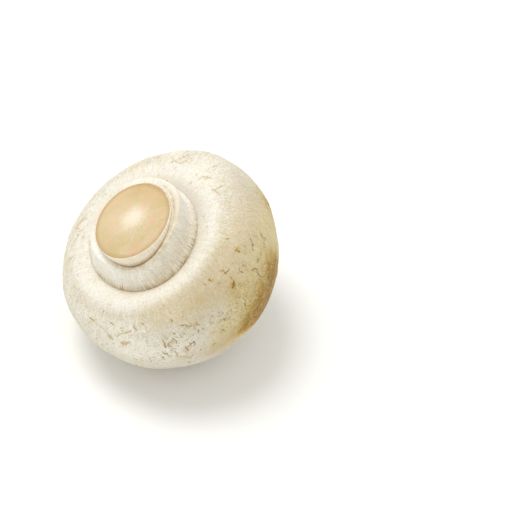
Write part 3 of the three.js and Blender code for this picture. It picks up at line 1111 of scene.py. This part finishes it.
def stemFlesh():
    f = Finish("stem_flesh")
    c = tints(stemValues["colours"])
    grown = f.grown()
    x, y, z = f.split(grown)
    radius = (x * x + y * y) ** 0.5 + 0.001
    line = f.rays(x, y, radius, 30.0, z * 0.2, 3.0)
    cloud = f.noise(grown, 0.22, 3.0, 0.5, 0.5)
    mottle = f.noise(grown, 0.9, 4.0, 0.6, 0.3)
    grain = f.noise(grown, 2.4, 3.0, 0.6)
    face = f.attribute("face")
    side = f.mix(f.step(line, 0.4, 0.7), c["side"], c["sideDull"])
    # browner and darker, as painted shade, where the side goes down behind the lip
    behind = f.attribute("low") + (line - 0.5) * 0.3
    side = f.mix(f.step(behind, 0.4, 1.1, 0.0, 0.65), side, c["behindLipBrownAndShade"])
    cut = f.mix(f.step(cloud, 0.3, 0.7), c["cut"], c["cutDull"])
    for *blotch, colour in stemValues["blotches"]:
        cut = f.blotches(cut, grown, *blotch, tint(*colour))
    cut = f.mix(f.step(mottle, 0.45, 0.8, 0.0, 0.35), cut, c["mottle"])
    cut = f.mix(f.step(grain, 0.5, 0.75, 0.0, 0.4), cut, c["grain"])
    cut = f.mix(f.step(x * 0.6 + y * 0.9, -1.0, 9.0, 0.0, 0.6), cut, c["farRight"])
    cut = f.mix(f.step((y - x) * 0.7, 0.5, 6.0, 0.0, 0.3), cut, c["farLeft"])
    cut = f.mix(f.step(0 - x, 4.0, 9.0, 0.0, 0.35), cut, c["left"])

    # the pale pith, with a painted highlight on it, lies a little off the middle, is longer one way, and
    # sends out rays
    pithX, pithY = stemValues["pithAndHighlight"]
    along = (x - pithX) * 0.84 + (y - pithY) * 0.24
    across = (x - pithX) * 0.28 - (y - pithY) * 0.96
    away = (along * along + across * across) ** 0.5 + 0.001
    rays = f.rays(along, across, away, 3.0, away * 0.12)
    streaks = f.rays(along, across, away, 9.0, away * 0.5, 3.0, 0.65)
    pale = f.step(away + (rays - 0.5) * 1.2 + (mottle - 0.5) * 2.4, 0.5, 4.1, 0.82, 0.0)
    cut = f.mix(f.step(away + (mottle - 0.5) * 2.0, 1.5, 7.5, 0.25, 0.0), cut, c["round"])
    cut = f.mix(f.step(streaks, 0.52, 0.72) * f.step(away, 1.0, 7.5, 0.4, 0.12), cut, c["streakAndHighlight"])
    cut = f.mix(pale, cut, c["pithAndHighlight"])
    cut = f.mix(f.step(f.attribute("middle"), 8.4, 9.7, 0.0, 0.55), cut, c["rim"])
    skin = f.mix(face, side, cut)
    roughness = f.step(face + mottle * 0.2, 0.0, 1.2, 0.6, 0.42)
    return f.flesh(stemValues, skin, roughness, mottle * 0.4 + grain * 0.3)


finished(makeCap(), "cap_skin", "cap", capSkin())
finished(makeVeil(), "veil_skirt", "veil", veilFibre())
finished(makeStem(), "stem_plug", "stem", stemFlesh())

studio = {
    "sky": (1.0, 0.99, 0.97),
    "skyStrength": 0.82,
    "floorSize": 3.0,
    "floor": (0.93, 0.93, 0.92),
    "floorRoughness": 0.9,
    # name, turn round the mushroom, height, distance m, width m, watts
    "lamps": [
        ("key", 216, 75, 0.8, 0.4, 3.0),
    ],
}


def makeStudio():
    solid = bmesh.new()
    bmesh.ops.create_grid(solid, x_segments=1, y_segments=1, size=studio["floorSize"])
    floorMesh = meshOf(solid, "floor")
    floor = bpy.data.objects.new("floor", floorMesh)
    f = Finish("floor_paper")
    paper = {"Base Color": (*studio["floor"], 1), "Roughness": studio["floorRoughness"]}
    floorMesh.materials.append(f.close(paper))
    scene.collection.objects.link(floor)
    for name, turn, height, distance, width, watts in studio["lamps"]:
        data = bpy.data.lights.new(name, "AREA")
        data.shape = "DISK"
        data.size = width
        data.energy = watts
        lamp = bpy.data.objects.new(name, data)
        way = wayOut(turn, height)
        lamp.location = centre * mm + way * distance
        lamp.rotation_euler = way.to_track_quat("Z", "Y").to_euler()
        scene.collection.objects.link(lamp)
    world = bpy.data.worlds.new("sky")
    world.use_nodes = True
    sky = world.node_tree.nodes["Background"]
    sky.inputs["Color"].default_value = (*studio["sky"], 1)
    sky.inputs["Strength"].default_value = studio["skyStrength"]
    scene.world = world


makeStudio()
print("studio lit")
